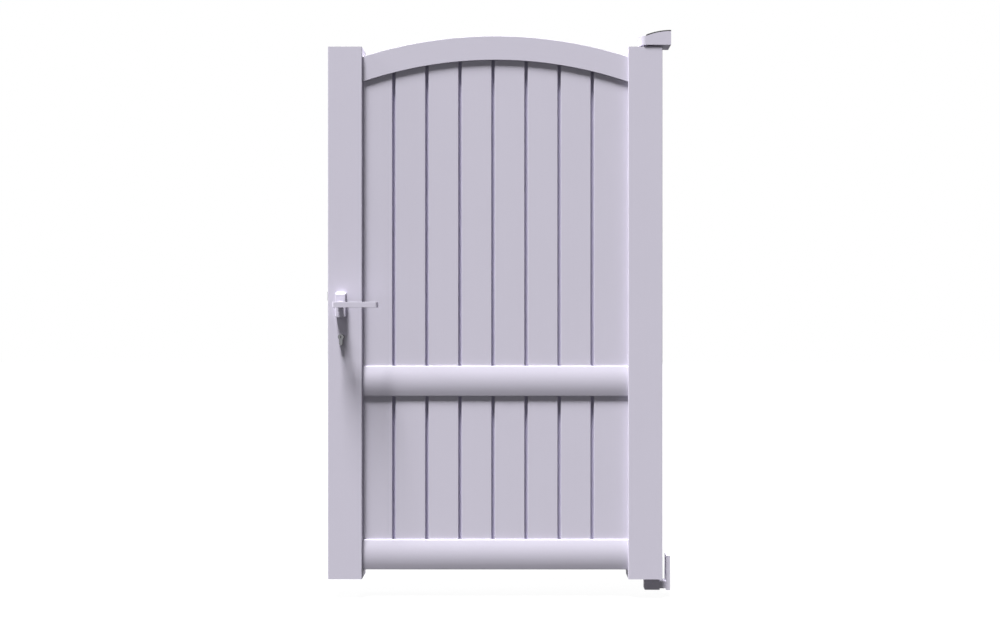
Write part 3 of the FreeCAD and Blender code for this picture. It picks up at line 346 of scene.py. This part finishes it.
def fit_screws(node, body, sizes, out, row=None):
    """Put socket screws in the place of a CAD node, with their heads out along one axis. A pair stands in a
    row along another axis, each a head's radius from its end."""
    low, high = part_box(node)
    along = next(number for number in range(3) if out[number])
    top = [(near + far) / 2 for near, far in zip(low, high)]
    top[along] = high[along] if out[along] > 0 else low[along]
    tops = [top]
    if row is not None:
        inset = sizes["Head radius"]
        tops = [[*top[:row], end, *top[row + 1:]] for end in (low[row] + inset, high[row] - inset)]
    mesh = bpy.data.meshes.new(f"{node}_seats")
    mesh.from_pydata(tops, [], [])
    piece = bpy.data.objects.new(f"socket_{node}", mesh)
    bpy.context.scene.collection.objects.link(piece)
    length = high[along] - low[along]
    values = {"Direction": out, "Shank length": length - sizes["Head height"], "Finish": brushed, **sizes}
    modifier = piece.modifiers.new("socket_screw", "NODES")
    modifier.node_group = tree
    for item in tree.interface.items_tree:
        if item.name in values:
            modifier[item.identifier] = values[item.name]
    made = piece.evaluated_get(bpy.context.evaluated_depsgraph_get())
    finished = bpy.data.meshes.new_from_object(made)
    piece.modifiers.clear()
    piece.data = finished
    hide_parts(node)
    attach(piece, body)


low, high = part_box("faceplate_screws")
headed = {"Head radius": (high[1] - low[1]) / 2, "Head height": 0.0027, "Shank radius": 0.0025,
          "Key width": 0.003, "Key depth": 0.0019}
low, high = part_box("lever_grub_screws")
grub_radius = (high[0] - low[0]) / 2
headless = {"Head radius": grub_radius, "Head height": 0.0015, "Shank radius": grub_radius,
            "Key width": 0.0025, "Key depth": 0.0014}
fit_screws("faceplate_screws", "leaf", headed, out=(-1.0, 0.0, 0.0), row=2)
fit_screws("cylinder_screw", "leaf", headed, out=(-1.0, 0.0, 0.0))
fit_screws("rosette_bolts", "leaf", headed, out=(0.0, 1.0, 0.0), row=2)
fit_screws("lever_grub_screws", "handle", headless, out=(0.0, 0.0, -1.0), row=1)

# Lock cylinder: brass, milled to the keyhole profile and plated in satin nickel, with a turned plug
# from each side and a cam between them. Its colour is a painted shade, far darker than the plating,
# standing in for the shadow it sits in and the dim surroundings it would mirror.
shaded_nickel, surface, place = new_finish("satin_nickel_painted_shade", {"Metallic": 1.0})
mill = place.noise(scale=1100.0, stretch=(1.0, 0.02, 1.0))
# Painted shade: both colours are far darker than the plating's own.
paint(surface, base_color=mill.shade((0.165, 0.166, 0.176), (0.225, 0.226, 0.236)),
      roughness=0.28 + 0.14 * mill, normal=mill.bump(height=0.00002, strength=0.3))
dress(shaded_nickel, "cylinder_body", "front_cylinder_plug", "back_cylinder_plug", "cylinder_cam")

# Rosettes and levers: aluminium castings in the same coat. The rosettes have a rounded brow, the levers are
# flat bars that turn back towards the leaf, rubbed a little smoother where the hand goes.
dress(cast_coat, "front_rosette", "back_rosette")
grip_coat, surface, place = new_finish("grip_coat", {"IOR": 1.45, "Specular IOR Level": 0.3})
ripple = place.noise(cast_peel, detail=3.0)
rub = place.noise(scale=22.0, detail=3.0)
paint(surface, base_color=rub.shade(toned(0.97), toned(1.02)), roughness=0.5 - 0.16 * rub + 0.05 * ripple,
      normal=ripple.bump(height=0.00005, strength=0.3))
dress(grip_coat, "front_lever", "back_lever")

# Wall hinges: a cast housing above and a cast bracket below, coated like the leaf, with a dark moulded lid
# over the upper fixings. Stainless pins, a slide and its clamp screw carry the leaf on a nylon washer.
dress(cast_coat, "top_hinge_housing", "bottom_hinge_bracket")
dress(brushed, "top_pivot_pin", "bottom_pivot_pin", "top_pivot_slide", "top_clamp_screw")
dress(nylon, "bottom_thrust_washer")
lid_plastic, surface, place = new_finish("lid_plastic", {"IOR": 1.47, "Specular IOR Level": 0.35})
pit = place.noise(scale=1100.0)
cloud = place.noise(scale=90.0, detail=3.0)
paint(surface, base_color=cloud.shade((0.034, 0.034, 0.037), (0.048, 0.048, 0.051)),
      roughness=0.52 + 0.14 * pit, normal=pit.bump(height=0.00005, strength=0.5))
dress(lid_plastic, "top_hinge_lid")

# Stage: a pale floor under the leaf and a white surround, neither of them part of the gate. To the eye both
# are white, and the floor keeps a trace of the gate's shadow. The light they give the gate is a soft grey.
reach = 12.0
ground = -0.06
floor_white = 0.93
sky_grey = (0.12, 0.12, 0.126, 1)
pure_white = (1, 1, 1, 1)


def in_sight(tree):
    """One for what the camera sees, also in mirrors or through glass, and nothing for other light."""
    path = Wire(tree.nodes.new("ShaderNodeLightPath"), "Is Camera Ray")
    return path + Wire(path.node, "Is Glossy Ray") + Wire(path.node, "Is Transmission Ray")


floor_mesh = bpy.data.meshes.new("floor")
floor_mesh.from_pydata([(-reach, -reach, ground), (reach, -reach, ground), (reach, reach, ground),
                        (-reach, reach, ground)], [], [(0, 1, 2, 3)])
floor = bpy.data.objects.new("floor", floor_mesh)
bpy.context.scene.collection.objects.link(floor)
floor_paint, surface, place = new_finish("floor_paint", {"Roughness": 0.9})
floor_tree = floor_paint.node_tree
seen = in_sight(floor_tree)
paint(surface, base_color=seen.shade((0.01, 0.01, 0.01), (0.8, 0.8, 0.8)))
white = seen.add("ShaderNodeEmission", {}, {"Color": pure_white, "Strength": 1.0})
mixed = seen.add("ShaderNodeMixShader", {}, {0: floor_white * seen, 1: Wire(surface), 2: white})
floor_tree.links.new(mixed.socket, floor_tree.nodes["Material Output"].inputs["Surface"])
floor_mesh.materials.append(floor_paint)

world = bpy.data.worlds.new("studio")
bpy.context.scene.world = world
world.use_nodes = True
world_tree = world.node_tree
sky = world_tree.nodes["Background"]
sky.inputs["Color"].default_value = sky_grey
seen = in_sight(world_tree)
backdrop = seen.add("ShaderNodeBackground", {}, {"Color": pure_white, "Strength": 1.0})
mixed = seen.add("ShaderNodeMixShader", {}, {0: seen, 1: Wire(sky), 2: backdrop})
world_tree.links.new(mixed.socket, world_tree.nodes["World Output"].inputs["Surface"])


# Lamps: a steep key lamp a little to the left, and a weaker one beside it, throw the long shadows under the
# handle and the rails. A low one from the left reaches into the joints, and a soft one lights the back.
def lamp(name, toward, strength, softness):
    """A distant studio lamp: toward points from the leaf to it, and softness is its width in degrees."""
    data = bpy.data.lights.new(name, "SUN")
    data.energy = strength
    data.angle = math.radians(softness)
    item = bpy.data.objects.new(name, data)
    item.rotation_euler = Vector(toward).to_track_quat("Z", "Y").to_euler()
    bpy.context.scene.collection.objects.link(item)


lamp("key", toward=(-0.62, -1.0, 5.5), strength=11.65, softness=11)
lamp("side", toward=(-1.25, -1.0, 5.5), strength=2.4, softness=11)
lamp("left", toward=(-1.0, -0.035, 0.7), strength=2.2, softness=9)
lamp("rear", toward=(0.5, 1.0, 0.9), strength=3.0, softness=30)

bpy.context.scene.view_settings.view_transform = "Standard"
